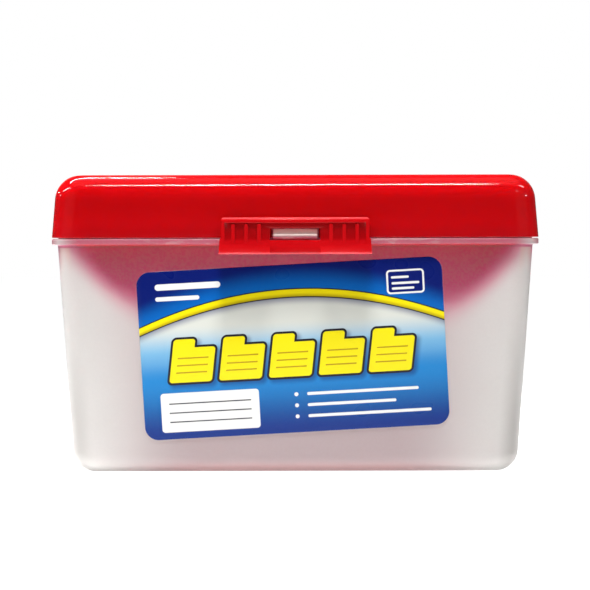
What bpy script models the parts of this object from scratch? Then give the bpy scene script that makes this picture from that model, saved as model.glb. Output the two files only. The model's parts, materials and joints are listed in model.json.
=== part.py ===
"""Small hinged file box for 76 x 127 mm index cards.

A frosted translucent tray with a glossy lid. The lid hooks over two moulded bars behind the tray
and swings up and back. A flap on a film hinge at the lid's front snaps under a catch on the tray.
X runs across the box, the front faces -Y, Z is up, and the tray stands on Z = 0.
"""

import math

import bmesh
import bpy
from mathutils import Matrix, Vector

MM = 0.001

# Rim, which the tray and the lid share
RIM_WIDTH = 148.8 * MM
RIM_DEPTH = 97.0 * MM
RIM_TOP = 71.5 * MM
RIM_THICKNESS = 1.8 * MM
RIM_OVERHANG = 1.7 * MM
RIM_ROUND = 0.5 * MM

# Tray
TRAY_CORNER = 7.0 * MM
TRAY_WALL = 1.5 * MM
TRAY_FLOOR = 1.6 * MM
TRAY_FILLET = 7.0 * MM
TRAY_DRAFT = math.radians(3.75)
UNDER_RIM_FILLET = 0.5 * MM
LIP_HEIGHT = 3.2 * MM
LIP_ROUND = 0.3 * MM
LIP_CLEARANCE = 0.4 * MM

# Lid
LID_HEIGHT = 19.2 * MM
LID_WALL = 1.6 * MM
LID_ROOF = 1.6 * MM
LID_FILLET = 7.6 * MM
LID_DRAFT = math.radians(4.5)
LID_GAP = 0.3 * MM
LID_EDGE = 0.3 * MM

# Catch on the tray's front, in the middle of the latch's window
CATCH_WIDTH = 13.5 * MM
CATCH_PROUD = 2.0 * MM
CATCH_TIP_PROUD = 0.4 * MM
CATCH_DROP = 0.2 * MM
CATCH_LAND = 1.0 * MM
CATCH_HEIGHT = 3.1 * MM
NOTCH_CLEARANCE = 0.4 * MM

# Latch: a flap that hangs from its top edge
LATCH_WIDTH = 44.9 * MM
LATCH_SHOULDER = 0.45 * MM
LATCH_SPREAD = 0.3 * MM
LATCH_RISE = 6.4 * MM
LATCH_HEIGHT = 11.1 * MM
LATCH_STANDOFF = 0.4 * MM
LATCH_THICKNESS = 2.4 * MM
LATCH_CORNER = 1.0 * MM
LATCH_CLEARANCE = 0.3 * MM
WINDOW_WIDTH = 15.2 * MM
WINDOW_HEIGHT = 3.6 * MM
BAR_PROUD = 0.2 * MM
BORDER = 1.1 * MM
TOP_BORDER = 1.6 * MM
FIELD_DEPTH = 0.6 * MM
FLARE_HEIGHT = 6.5 * MM
FLARE_REACH = 1.6 * MM
FLARE_THICKNESS = 1.4 * MM
FLARE_BACK_HEIGHT = 4.5 * MM
GRIP_WIDTH = 1.3 * MM
GRIP_PITCH = 3.95 * MM
GRIP_FROM_WINDOW = 2.65 * MM
GRIP_TOP = 1.8 * MM
GRIP_LENGTH = 6.8 * MM
GRIPS_PER_SIDE = 3
FILM_THICKNESS = 0.8 * MM
FILM_MARGIN = 1.5 * MM

# Hinge behind the rim: bars between ears on the tray, hooks on the lid
HINGE_STATION = 40.0 * MM
HINGE_SETBACK = 3.0 * MM
HINGE_BAR_RADIUS = 1.4 * MM
HINGE_RUNNING = 0.3 * MM
HOOK_WALL = 1.0 * MM
HOOK_WIDTH = 9.0 * MM
HOOK_SIDE_PLAY = 0.4 * MM
HOOK_START = math.radians(-85.0)
HOOK_END = math.radians(170.0)
EAR_RADIUS = 2.5 * MM
EAR_THICKNESS = 2.0 * MM
EAR_DROP = 6.0 * MM
EAR_TAIL = 3.0 * MM
STOP_LENGTH = 3.2 * MM
STOP_CLEARANCE = 0.15 * MM
LID_OPEN = math.radians(110.0)

# Sticker on the tray's front wall
LABEL_WIDTH = 93.0 * MM
LABEL_HEIGHT = 51.5 * MM
LABEL_CORNER = 4.2 * MM
LABEL_THICKNESS = 0.2 * MM
LABEL_GAP = 0.1 * MM
LABEL_CENTRE_HEIGHT = 38.0 * MM
LABEL_SIDEWAYS = -0.7 * MM
LABEL_TILT = math.radians(3.1)

# Facets, and how far one shape runs into the next before they are joined
CORNER_STEPS = 8
FILLET_STEPS = 6
CURVE_STEPS = 6
ROUND_STEPS = 24
OVERRUN = 0.5 * MM
SMALLEST_CORNER = 0.3 * MM
SMOOTH_ANGLE = math.radians(30.0)

# Places worked out from the sizes above
RIM_CORNER = TRAY_CORNER + RIM_OVERHANG
FRONT = -RIM_DEPTH / 2
REAR = RIM_DEPTH / 2
LID_BASE = RIM_TOP + LID_GAP
LID_TOP = LID_BASE + LID_HEIGHT
LATCH_TOP = RIM_TOP + LATCH_RISE
LATCH_FOOT = LATCH_TOP - LATCH_HEIGHT
LATCH_BARREL = LATCH_THICKNESS / 2
LATCH_FACE = LATCH_STANDOFF + LATCH_THICKNESS
LATCH_AXIS_PROUD = LATCH_STANDOFF + LATCH_BARREL
LATCH_AXIS = Vector((0.0, FRONT - LATCH_AXIS_PROUD, LATCH_TOP - LATCH_BARREL))
CATCH_LEDGE = RIM_TOP - CATCH_DROP
CATCH_TOP = CATCH_LEDGE + CATCH_HEIGHT
BAR_TOP = CATCH_LEDGE - LATCH_CLEARANCE
HINGE_AXIS = Vector((0.0, REAR + HINGE_SETBACK, RIM_TOP + LID_GAP / 2))
HOOK_BORE = HINGE_BAR_RADIUS + HINGE_RUNNING
HOOK_RADIUS = HOOK_BORE + HOOK_WALL


def arc(centre, radius, start, end, steps):
    """Points of an arc in a plane, from the start angle to the end angle."""
    points = []
    for step in range(steps + 1):
        angle = start + (end - start) * step / steps
        points.append((centre[0] + radius * math.cos(angle), centre[1] + radius * math.sin(angle)))
    return points


def rounded_rectangle(half_x, half_y, radius):
    """Corner points of a rounded rectangle, anticlockwise from the +X side."""
    radius = max(radius, SMALLEST_CORNER)
    points = []
    for quarter in range(4):
        sign_x = 1 if quarter in (0, 3) else -1
        sign_y = 1 if quarter in (0, 1) else -1
        centre = (sign_x * (half_x - radius), sign_y * (half_y - radius))
        start = quarter * math.pi / 2
        points += arc(centre, radius, start, start + math.pi / 2, CORNER_STEPS)
    return points


def rim_ring(inset, corner, height):
    """A ring that lies inside the rim's outline by an inset."""
    outline = rounded_rectangle(RIM_WIDTH / 2 - inset, RIM_DEPTH / 2 - inset, corner)
    return [Vector((x, y, height)) for x, y in outline]


def closed_mesh(name, rings):
    """A closed body through rings of equal count, with a cap at each end."""
    shape = bmesh.new()
    loops = [[shape.verts.new(point) for point in ring] for ring in rings]
    for lower, upper in zip(loops, loops[1:]):
        for index in range(len(lower)):
            following = (index + 1) % len(lower)
            shape.faces.new((lower[index], lower[following], upper[following], upper[index]))
    shape.faces.new(list(reversed(loops[0])))
    shape.faces.new(loops[-1])
    bmesh.ops.recalc_face_normals(shape, faces=shape.faces)
    mesh = bpy.data.meshes.new(name)
    shape.to_mesh(mesh)
    shape.free()
    item = bpy.data.objects.new(name, mesh)
    bpy.context.scene.collection.objects.link(item)
    return item


def prism_along_x(name, outline, low, high):
    """Extrude an outline of (y, z) points between two x places."""
    rings = [[Vector((x, y, z)) for y, z in outline] for x in (low, high)]
    return closed_mesh(name, rings)


def prism_along_y(name, outline, low, high):
    """Extrude an outline of (x, z) points between two y places."""
    rings = [[Vector((x, y, z)) for x, z in outline] for y in (low, high)]
    return closed_mesh(name, rings)


def block(name, low, high):
    """A plain block between two corners."""
    outline = [(low[1], low[2]), (high[1], low[2]), (high[1], high[2]), (low[1], high[2])]
    return prism_along_x(name, outline, low[0], high[0])


def combine(target, tool, operation):
    """Join, cut or trim the target by the tool, which is used up."""
    modifier = target.modifiers.new("combine", "BOOLEAN")
    modifier.operation = operation
    modifier.solver = "EXACT"
    modifier.object = tool
    graph = bpy.context.evaluated_depsgraph_get()
    result = bpy.data.meshes.new_from_object(target.evaluated_get(graph))
    target.modifiers.remove(modifier)
    target.data = result
    bpy.data.objects.remove(tool)


def plastic(name, colour, roughness, transmission=0.0):
    """A moulded plastic, as a Principled material."""
    material = bpy.data.materials.new(name)
    material.use_nodes = True
    shader = material.node_tree.nodes["Principled BSDF"]
    shader.inputs["Base Color"].default_value = (*colour, 1.0)
    shader.inputs["Roughness"].default_value = roughness
    shader.inputs["Metallic"].default_value = 0.0
    shader.inputs["Transmission Weight"].default_value = transmission
    material.diffuse_color = (*colour, 1.0)
    return material


def finish(item, name, material, parent, origin, parent_origin):
    """Name the piece, give it its material, and move its origin to a point of the tray's frame."""
    item.name = name
    item.data.name = name
    item.data.transform(Matrix.Translation(-origin))
    item.data.materials.clear()
    item.data.materials.append(material)
    item.data.shade_smooth()
    item.data.set_sharp_from_angle(angle=SMOOTH_ANGLE)
    item.parent = parent
    item.location = origin - parent_origin


def frame_at(name, parent, location):
    """An empty that carries pieces."""
    empty = bpy.data.objects.new(name, None)
    bpy.context.scene.collection.objects.link(empty)
    empty.empty_display_size = LID_HEIGHT
    empty.parent = parent
    empty.location = location
    return empty


def tray_inset(height):
    """How far the tray wall's outer face lies inside the rim's outline."""
    return RIM_OVERHANG + (RIM_TOP - height) * math.tan(TRAY_DRAFT)


def lid_inset(height):
    """How far the lid wall's outer face lies inside the rim's outline."""
    return (height - LID_BASE) * math.tan(LID_DRAFT)


def fillet_rings(inset_at, wall, draft, base, radius, corner, up):
    """Rings round the edge between a drafted wall and a flat face, from the flat face outward.

    up is 1 where the wall rises from the face and -1 where it hangs from it.
    """
    radius = max(radius, SMALLEST_CORNER)
    centre_height = base + up * radius
    centre_inset = inset_at(centre_height) + (wall + radius) / math.cos(draft)
    rings = []
    for step in range(FILLET_STEPS + 1):
        angle = math.pi / 2 + (draft - math.pi / 2) * step / FILLET_STEPS
        inset = centre_inset - radius * math.cos(angle)
        height = centre_height - up * radius * math.sin(angle)
        rings.append(rim_ring(inset, corner - (inset - inset_at(height)), height))
    return rings


def tray_shell():
    """The tray's drafted walls, floor, flanged rim and locating lip, as one shell."""
    under_rim = RIM_TOP - RIM_THICKNESS
    fillet_foot = under_rim - UNDER_RIM_FILLET
    lip_inset = LID_WALL + LIP_CLEARANCE
    lip_inner = RIM_OVERHANG + TRAY_WALL
    lip_top = RIM_TOP + LIP_HEIGHT
    lip_lean = LIP_HEIGHT * math.tan(LID_DRAFT)
    rings = fillet_rings(tray_inset, 0.0, TRAY_DRAFT, 0.0, TRAY_FILLET, TRAY_CORNER, 1)
    rings += [
        rim_ring(tray_inset(fillet_foot), TRAY_CORNER, fillet_foot),
        rim_ring(tray_inset(under_rim) - UNDER_RIM_FILLET, TRAY_CORNER + UNDER_RIM_FILLET, under_rim),
        rim_ring(RIM_ROUND, RIM_CORNER - RIM_ROUND, under_rim),
        rim_ring(0.0, RIM_CORNER, under_rim + RIM_ROUND),
        rim_ring(0.0, RIM_CORNER, RIM_TOP - RIM_ROUND),
        rim_ring(RIM_ROUND, RIM_CORNER - RIM_ROUND, RIM_TOP),
        rim_ring(lip_inset, RIM_CORNER - lip_inset, RIM_TOP),
        rim_ring(lip_inset + lip_lean, RIM_CORNER - lip_inset - lip_lean, lip_top - LIP_ROUND),
        rim_ring(lip_inset + lip_lean + LIP_ROUND, RIM_CORNER - lip_inset - lip_lean - LIP_ROUND, lip_top),
        rim_ring(lip_inner, RIM_CORNER - lip_inner, lip_top),
        rim_ring(lip_inner, RIM_CORNER - lip_inner, RIM_TOP),
    ]
    inner = fillet_rings(
        tray_inset, TRAY_WALL, TRAY_DRAFT, TRAY_FLOOR, TRAY_FILLET - TRAY_WALL, TRAY_CORNER, 1
    )
    return closed_mesh("tray", rings + inner[::-1])


def catch_block():
    """The snap catch: a ramp over an upright land over a flat ledge, joined to the locating lip."""
    root = FRONT + LID_WALL + LIP_CLEARANCE + LIP_ROUND + OVERRUN
    land_top = CATCH_LEDGE + CATCH_LAND
    outline = [
        (root, CATCH_LEDGE),
        (FRONT - CATCH_PROUD, CATCH_LEDGE),
        (FRONT - CATCH_PROUD, land_top),
        (FRONT - CATCH_TIP_PROUD, CATCH_TOP),
        (root, CATCH_TOP),
    ]
    return prism_along_x("catch", outline, -CATCH_WIDTH / 2, CATCH_WIDTH / 2)


def stop_points():
    """Ends of the sloping face on which the lid's back wall rests when it is fully open."""
    wall_distance = HINGE_SETBACK * math.cos(LID_DRAFT)
    wall_distance += (HINGE_AXIS.z - LID_BASE) * math.sin(LID_DRAFT)
    towards_wall = math.pi + LID_DRAFT - LID_OPEN
    along_wall = towards_wall - math.pi / 2
    reach = wall_distance - STOP_CLEARANCE
    near = (
        HINGE_AXIS.y + reach * math.cos(towards_wall),
        HINGE_AXIS.z + reach * math.sin(towards_wall),
    )
    far = (
        near[0] + STOP_LENGTH * math.cos(along_wall),
        near[1] + STOP_LENGTH * math.sin(along_wall),
    )
    return near, far, towards_wall


def ear_outline():
    """Side view of an ear: from the rim round the bar, along the stop face and down to the wall."""
    near, far, towards_wall = stop_points()
    root = REAR - RIM_OVERHANG
    left = math.pi - math.asin((RIM_TOP - HINGE_AXIS.z) / EAR_RADIUS)
    foot = RIM_TOP - EAR_DROP
    outline = [(root, RIM_TOP)]
    outline += arc((HINGE_AXIS.y, HINGE_AXIS.z), EAR_RADIUS, left, towards_wall, CURVE_STEPS)
    outline += [near, far, (far[0], far[1] - EAR_TAIL)]
    outline += [(REAR - tray_inset(foot) - TRAY_WALL / 2, foot)]
    return outline


def hinge_bar(low, high):
    """A moulded bar between two ears."""
    outline = arc((HINGE_AXIS.y, HINGE_AXIS.z), HINGE_BAR_RADIUS, 0.0, 2 * math.pi, ROUND_STEPS)
    return prism_along_x("bar", outline[:-1], low, high)


def hook_outline():
    """Side view of a hook: an arm from the lid's back wall, curled over the bar, its mouth below."""
    centre = (HINGE_AXIS.y, HINGE_AXIS.z)
    top = HINGE_AXIS.z + HOOK_RADIUS
    root = REAR - lid_inset(top) - LID_WALL / 2
    bore = arc(centre, HOOK_BORE, HOOK_END, HOOK_START, ROUND_STEPS)
    back = arc(centre, HOOK_RADIUS, HOOK_START, math.pi / 2, ROUND_STEPS // 2)
    shoulder = arc(centre, HOOK_RADIUS, HOOK_END, HOOK_END, 1)[0]
    return [(root, shoulder[1]), shoulder] + bore + back + [(root, top)]


def make_tray(parent, material):
    """The tray with its catch, hinge ears and hinge bars."""
    tray = tray_shell()
    combine(tray, catch_block(), "UNION")
    for side in (-1, 1):
        station = side * HINGE_STATION
        inner = HOOK_WIDTH / 2 + HOOK_SIDE_PLAY
        for hand in (-1, 1):
            near = station + hand * inner
            far = near + hand * EAR_THICKNESS
            combine(tray, prism_along_x("ear", ear_outline(), min(near, far), max(near, far)), "UNION")
        reach = inner + EAR_THICKNESS / 2
        combine(tray, hinge_bar(station - reach, station + reach), "UNION")
    finish(tray, "tray", material, parent, Vector(), Vector())


def lid_shell():
    """The lid's drafted walls and filleted roof, as one shell."""
    rings = fillet_rings(lid_inset, 0.0, LID_DRAFT, LID_TOP, LID_FILLET, RIM_CORNER, -1)
    rings += [
        rim_ring(lid_inset(LID_BASE + LID_EDGE), RIM_CORNER, LID_BASE + LID_EDGE),
        rim_ring(LID_EDGE, RIM_CORNER - LID_EDGE, LID_BASE),
        rim_ring(LID_WALL - LID_EDGE, RIM_CORNER - LID_WALL + LID_EDGE, LID_BASE),
        rim_ring(LID_WALL + lid_inset(LID_BASE + LID_EDGE), RIM_CORNER - LID_WALL, LID_BASE + LID_EDGE),
    ]
    inner = fillet_rings(
        lid_inset, LID_WALL, LID_DRAFT, LID_TOP - LID_ROOF, LID_FILLET - LID_WALL, RIM_CORNER, -1
    )
    return closed_mesh("lid", rings + inner[::-1])


def catch_notch():
    """The opening in the lid's front wall that lets the catch through."""
    half = CATCH_WIDTH / 2 + NOTCH_CLEARANCE
    low = (-half, FRONT - OVERRUN, LID_BASE - OVERRUN)
    high = (half, FRONT + 2 * LID_WALL, CATCH_TOP + NOTCH_CLEARANCE)
    return block("notch", low, high)


def film_root():
    """The strip on the lid's front wall that the latch's film hinge grows from."""
    half = LATCH_WIDTH / 2 - FILM_MARGIN
    back = FRONT + lid_inset(LATCH_AXIS.z) + LID_WALL / 2
    face = FRONT - LATCH_STANDOFF + LATCH_CLEARANCE
    low = (-half, face, LATCH_AXIS.z - FILM_THICKNESS / 2)
    high = (half, back, LATCH_AXIS.z + FILM_THICKNESS / 2)
    return block("film", low, high)


def make_lid(parent, material):
    """The lid with its hooks, its notch and the root of the film hinge."""
    lid = lid_shell()
    combine(lid, catch_notch(), "DIFFERENCE")
    combine(lid, film_root(), "UNION")
    for side in (-1, 1):
        station = side * HINGE_STATION
        hook = prism_along_x("hook", hook_outline(), station - HOOK_WIDTH / 2, station + HOOK_WIDTH / 2)
        combine(lid, hook, "UNION")
    finish(lid, "lid", material, parent, HINGE_AXIS, Vector())
    return lid


def latch_side_view():
    """Side view of the latch: rolled top edge, recessed field and a thin foot that flares forward."""
    field = FRONT - LATCH_FACE + FIELD_DEPTH
    back = FRONT - LATCH_STANDOFF
    border_foot = LATCH_TOP - TOP_BORDER
    flare_top = LATCH_FOOT + FLARE_HEIGHT
    back_top = LATCH_FOOT + FLARE_BACK_HEIGHT
    back_reach = LATCH_THICKNESS + FLARE_REACH - FLARE_THICKNESS
    outline = arc((LATCH_AXIS.y, LATCH_AXIS.z), LATCH_BARREL, 0.0, math.pi, ROUND_STEPS // 2)
    outline += [(FRONT - LATCH_FACE, border_foot), (field, border_foot)]
    for step in range(CURVE_STEPS + 1):
        share = step / CURVE_STEPS
        outline.append((field - (FIELD_DEPTH + FLARE_REACH) * share**2, flare_top - FLARE_HEIGHT * share))
    for step in range(CURVE_STEPS + 1):
        share = 1 - step / CURVE_STEPS
        outline.append((back - back_reach * share**2, back_top - FLARE_BACK_HEIGHT * share))
    return outline


def latch_front_view():
    """Front view of the latch: rounded top corners, wider below the lid and widest at its foot."""
    top = LATCH_WIDTH / 2
    below = top + LATCH_SHOULDER
    right = [(below + LATCH_SPREAD, LATCH_FOOT), (below, LID_BASE - LATCH_SHOULDER), (top, LID_BASE)]
    right += arc((top - LATCH_CORNER, LATCH_TOP - LATCH_CORNER), LATCH_CORNER, 0.0, math.pi / 2, CURVE_STEPS)
    return right + [(-x, z) for x, z in reversed(right)]


def grip(place):
    """One upright finger rib, rounded at its top, which runs into the flare."""
    radius = GRIP_WIDTH / 2
    top = LATCH_TOP - GRIP_TOP - radius
    outline = arc((place, top), radius, 0.0, math.pi, CURVE_STEPS)
    outline += [(place - radius, top - GRIP_LENGTH), (place + radius, top - GRIP_LENGTH)]
    return prism_along_y("grip", outline, FRONT - LATCH_FACE, FRONT - LATCH_AXIS_PROUD)


def make_latch(parent, material):
    """The latch, with its window, the bar that hooks under the catch, borders and finger ribs."""
    wide = LATCH_WIDTH / 2 + LATCH_SHOULDER + LATCH_SPREAD
    half_window = WINDOW_WIDTH / 2
    face = FRONT - LATCH_FACE
    middle = FRONT - LATCH_AXIS_PROUD
    latch = prism_along_x("latch", latch_side_view(), -wide - OVERRUN, wide + OVERRUN)
    window_low = (-half_window, face - FLARE_REACH - OVERRUN, LATCH_FOOT - OVERRUN)
    window_high = (half_window, FRONT, BAR_TOP + WINDOW_HEIGHT)
    combine(latch, block("window", window_low, window_high), "DIFFERENCE")
    bar_low = (-half_window - OVERRUN, face - BAR_PROUD, LATCH_FOOT)
    bar_high = (half_window + OVERRUN, FRONT - LATCH_STANDOFF, BAR_TOP)
    combine(latch, block("bar", bar_low, bar_high), "UNION")
    for side in (-1, 1):
        outer = side * (wide + OVERRUN)
        inner = side * (LATCH_WIDTH / 2 - BORDER)
        border_low = (min(outer, inner), face, LATCH_FOOT + OVERRUN)
        border_high = (max(outer, inner), middle, LATCH_AXIS.z)
        combine(latch, block("border", border_low, border_high), "UNION")
        for index in range(GRIPS_PER_SIDE):
            place = (WINDOW_WIDTH + GRIP_WIDTH) / 2 + GRIP_FROM_WINDOW + index * GRIP_PITCH
            combine(latch, grip(side * place), "UNION")
    front_view = prism_along_y("trim", latch_front_view(), face - FLARE_REACH - OVERRUN, FRONT)
    combine(latch, front_view, "INTERSECT")
    finish(latch, "latch", material, parent, LATCH_AXIS, HINGE_AXIS)


def make_label(parent, material):
    """The sticker, parallel to the drafted front wall and put on a little crooked."""
    outline = rounded_rectangle(LABEL_WIDTH / 2, LABEL_HEIGHT / 2, LABEL_CORNER)
    rings = []
    for proud in (LABEL_GAP, LABEL_GAP + LABEL_THICKNESS):
        rings.append([Vector((x, -proud, z)) for x, z in outline])
    label = closed_mesh("front_label", rings)
    label.data.transform(Matrix.Rotation(TRAY_DRAFT, 4, "X") @ Matrix.Rotation(-LABEL_TILT, 4, "Y"))
    centre = Vector((LABEL_SIDEWAYS, FRONT + tray_inset(LABEL_CENTRE_HEIGHT), LABEL_CENTRE_HEIGHT))
    finish(label, "front_label", material, parent, Vector(), Vector())
    label.location = centre


def main():
    for item in list(bpy.data.objects):
        bpy.data.objects.remove(item)

    frosted = plastic("frosted polypropylene", (0.86, 0.83, 0.82), 0.45, 0.6)
    red = plastic("glossy red plastic", (0.62, 0.005, 0.012), 0.12)
    latch_red = plastic("glossy red latch", (0.66, 0.006, 0.014), 0.16)
    print_stock = plastic("printed label", (0.05, 0.18, 0.5), 0.3)

    front_reach = LATCH_FACE + FLARE_REACH
    rear_reach = stop_points()[1][0] - REAR
    box = frame_at("card_box", None, Vector((0.0, (front_reach - rear_reach) / 2, 0.0)))
    make_tray(box, frosted)
    make_label(box, print_stock)
    lid = make_lid(box, red)
    make_latch(lid, latch_red)


main()
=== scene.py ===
"""Looks of a hinged box for index cards: frosted tray, glossy red lid and latch, printed label.

Metres, +Z up, the front faces -Y. The sizes repeat those of the model that the frame was packed from.
"""

import json
import math

import bmesh
import bpy
from mathutils import Matrix, Vector


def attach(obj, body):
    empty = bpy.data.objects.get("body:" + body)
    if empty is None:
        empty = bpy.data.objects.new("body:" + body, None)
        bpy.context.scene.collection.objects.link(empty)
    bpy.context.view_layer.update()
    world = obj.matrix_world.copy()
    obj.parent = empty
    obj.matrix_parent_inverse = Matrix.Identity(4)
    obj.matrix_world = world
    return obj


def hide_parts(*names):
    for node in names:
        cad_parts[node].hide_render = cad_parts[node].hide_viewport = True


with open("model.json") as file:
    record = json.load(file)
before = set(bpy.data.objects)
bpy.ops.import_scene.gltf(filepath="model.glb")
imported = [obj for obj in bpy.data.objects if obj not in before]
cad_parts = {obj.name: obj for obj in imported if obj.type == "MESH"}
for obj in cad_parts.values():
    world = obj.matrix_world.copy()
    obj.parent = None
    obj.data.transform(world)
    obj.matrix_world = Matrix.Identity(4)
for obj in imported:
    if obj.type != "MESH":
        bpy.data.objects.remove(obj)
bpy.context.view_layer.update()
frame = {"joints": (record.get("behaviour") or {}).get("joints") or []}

MM = 0.001

# Rim, which the tray and the lid share
RIM_WIDTH = 148.8 * MM
RIM_DEPTH = 97.0 * MM
RIM_TOP = 71.5 * MM
RIM_THICKNESS = 1.8 * MM
RIM_OVERHANG = 1.7 * MM
RIM_ROUND = 0.5 * MM
RIM_ROUND_FIT = 0.9

# Tray
TRAY_CORNER = 7.0 * MM
TRAY_WALL = 1.5 * MM
TRAY_FLOOR = 1.6 * MM
TRAY_FILLET = 7.0 * MM
TRAY_DRAFT = math.radians(3.75)
UNDER_RIM_FILLET = 0.5 * MM
LIP_HEIGHT = 3.2 * MM
LIP_ROUND = 0.3 * MM
LIP_CLEARANCE = 0.4 * MM

# Lid
LID_HEIGHT = 19.2 * MM
LID_WALL = 1.6 * MM
LID_ROOF = 1.6 * MM
LID_FILLET = 7.6 * MM
LID_DRAFT = math.radians(4.5)
LID_GAP = 0.3 * MM
LID_EDGE = 0.2 * MM

# Catch on the tray's front
CATCH_WIDTH = 13.5 * MM
CATCH_PROUD = 2.0 * MM
CATCH_TIP_PROUD = 0.4 * MM
CATCH_DROP = 0.2 * MM
CATCH_LAND = 1.0 * MM
CATCH_HEIGHT = 3.1 * MM
NOTCH_CLEARANCE = 0.4 * MM

# Latch
LATCH_WIDTH = 44.9 * MM
LATCH_SHOULDER = 0.45 * MM
LATCH_SPREAD = 0.3 * MM
LATCH_HEIGHT = 11.1 * MM
LATCH_STANDOFF = 0.4 * MM
LATCH_THICKNESS = 2.4 * MM
LATCH_CORNER = 1.0 * MM
LATCH_CLEARANCE = 0.3 * MM
WINDOW_WIDTH = 15.2 * MM
WINDOW_HEIGHT = 3.6 * MM
BAR_PROUD = 0.2 * MM
BORDER = 1.1 * MM
TOP_BORDER = 1.6 * MM
FIELD_DEPTH = 0.6 * MM
FLARE_HEIGHT = 6.5 * MM
FLARE_REACH = 1.6 * MM
FLARE_THICKNESS = 1.4 * MM
FLARE_BACK_HEIGHT = 4.5 * MM
GRIP_WIDTH = 1.3 * MM
GRIP_PITCH = 3.95 * MM
GRIP_FROM_WINDOW = 2.65 * MM
GRIP_TOP = 1.8 * MM
GRIP_LENGTH = 6.8 * MM
GRIPS_PER_SIDE = 3
FILM_THICKNESS = 0.8 * MM
FILM_MARGIN = 1.5 * MM

# Hinge behind the rim
HINGE_STATION = 40.0 * MM
HINGE_SETBACK = 3.0 * MM
HINGE_BAR_RADIUS = 1.4 * MM
HINGE_RUNNING = 0.3 * MM
HOOK_WALL = 1.0 * MM
HOOK_WIDTH = 9.0 * MM
HOOK_SIDE_PLAY = 0.4 * MM
HOOK_START = math.radians(-85.0)
HOOK_END = math.radians(170.0)
EAR_RADIUS = 2.5 * MM
EAR_THICKNESS = 2.0 * MM
EAR_DROP = 6.0 * MM
EAR_TAIL = 3.0 * MM
STOP_LENGTH = 3.2 * MM
STOP_CLEARANCE = 0.15 * MM
LID_OPEN = math.radians(110.0)

# Label
LABEL_WIDTH = 93.0 * MM
LABEL_HEIGHT = 51.5 * MM
LABEL_CORNER = 4.2 * MM
LABEL_THICKNESS = 0.2 * MM
LABEL_GAP = 0.1 * MM
LABEL_CENTRE_HEIGHT = 38.0 * MM
LABEL_SIDEWAYS = -0.7 * MM
LABEL_TILT = math.radians(3.1)

# Fineness of the visible meshes
CORNER_STEPS = 28
FILLET_STEPS = 24
EDGE_STEPS = 6
CURVE_STEPS = 20
ROUND_STEPS = 48
OVERRUN = 0.5 * MM
SMALLEST_CORNER = 0.3 * MM
FLAT_MARGIN = 6.0 * MM
SMOOTH_ANGLE = math.radians(40.0)
LATCH_BEVEL = 0.22 * MM
GRIP_BEVEL = 0.5 * MM
CATCH_BEVEL = 0.25 * MM
HINGE_BEVEL = 0.25 * MM
BEVEL_SEGMENTS = 3
BEVEL_ANGLE = math.radians(32.0)

# Places worked out from the frame and the sizes above
joint_places = {joint["name"]: Vector(joint["pos_m"]) for joint in frame["joints"]}
HINGE_AXIS = joint_places["lid_hinge"]
LATCH_AXIS = joint_places["latch_hinge"]
LATCH_BARREL = LATCH_THICKNESS / 2
LATCH_FACE = LATCH_STANDOFF + LATCH_THICKNESS
LATCH_AXIS_PROUD = LATCH_STANDOFF + LATCH_BARREL
FRONT = LATCH_AXIS.y + LATCH_AXIS_PROUD
REAR = FRONT + RIM_DEPTH
CENTRE_Y = (FRONT + REAR) / 2
RIM_CORNER = TRAY_CORNER + RIM_OVERHANG
LID_BASE = RIM_TOP + LID_GAP
LID_TOP = LID_BASE + LID_HEIGHT
LATCH_TOP = LATCH_AXIS.z + LATCH_BARREL
LATCH_FOOT = LATCH_TOP - LATCH_HEIGHT
CATCH_LEDGE = RIM_TOP - CATCH_DROP
CATCH_TOP = CATCH_LEDGE + CATCH_HEIGHT
BAR_TOP = CATCH_LEDGE - LATCH_CLEARANCE
HOOK_BORE = HINGE_BAR_RADIUS + HINGE_RUNNING
HOOK_RADIUS = HOOK_BORE + HOOK_WALL


# Outlines and lofts


def arc(centre, radius, start, end, steps):
    """Points of an arc in a plane, from the start angle to the end angle."""
    points = []
    for step in range(steps + 1):
        angle = start + (end - start) * step / steps
        points.append((centre[0] + radius * math.cos(angle), centre[1] + radius * math.sin(angle)))
    return points


def rounded_rectangle(half_x, half_y, radius, steps=CORNER_STEPS):
    """Corner points of a rounded rectangle, anticlockwise from the +X side."""
    radius = max(radius, SMALLEST_CORNER)
    points = []
    for quarter in range(4):
        sign_x = 1 if quarter in (0, 3) else -1
        sign_y = 1 if quarter in (0, 1) else -1
        centre = (sign_x * (half_x - radius), sign_y * (half_y - radius))
        start = quarter * math.pi / 2
        points += arc(centre, radius, start, start + math.pi / 2, steps)
    return points


def round_off(corners):
    """An open line through (x, y, radius, steps) corners, each corner turned into an arc of its radius."""
    points = [Vector(corners[0][:2])]
    for before, corner, after in zip(corners, corners[1:], corners[2:]):
        place, radius, steps = Vector(corner[:2]), corner[2], corner[3]
        back = (Vector(before[:2]) - place).normalized()
        ahead = (Vector(after[:2]) - place).normalized()
        half = math.acos(max(-1.0, min(1.0, back.dot(ahead)))) / 2
        centre = place + (back + ahead).normalized() * radius / math.sin(half)
        first = place + back * radius / math.tan(half) - centre
        sweep = math.pi - 2 * half
        turn = 1 if back.x * ahead.y - back.y * ahead.x < 0 else -1
        for step in range(steps + 1):
            rotation = Matrix.Rotation(turn * sweep * step / steps, 2)
            points.append(centre + rotation @ first)
    points.append(Vector(corners[-1][:2]))
    return points


def shell(name, profile, inset_at, wall_corner):
    """A closed body lofted round the box through (inset, height) points, concentric at its corners."""
    rings = []
    for inset, height in profile:
        corner = wall_corner - (inset - inset_at(height))
        outline = rounded_rectangle(RIM_WIDTH / 2 - inset, RIM_DEPTH / 2 - inset, corner)
        rings.append([Vector((x, y + CENTRE_Y, height)) for x, y in outline])
    return closed_mesh(name, rings)


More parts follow.
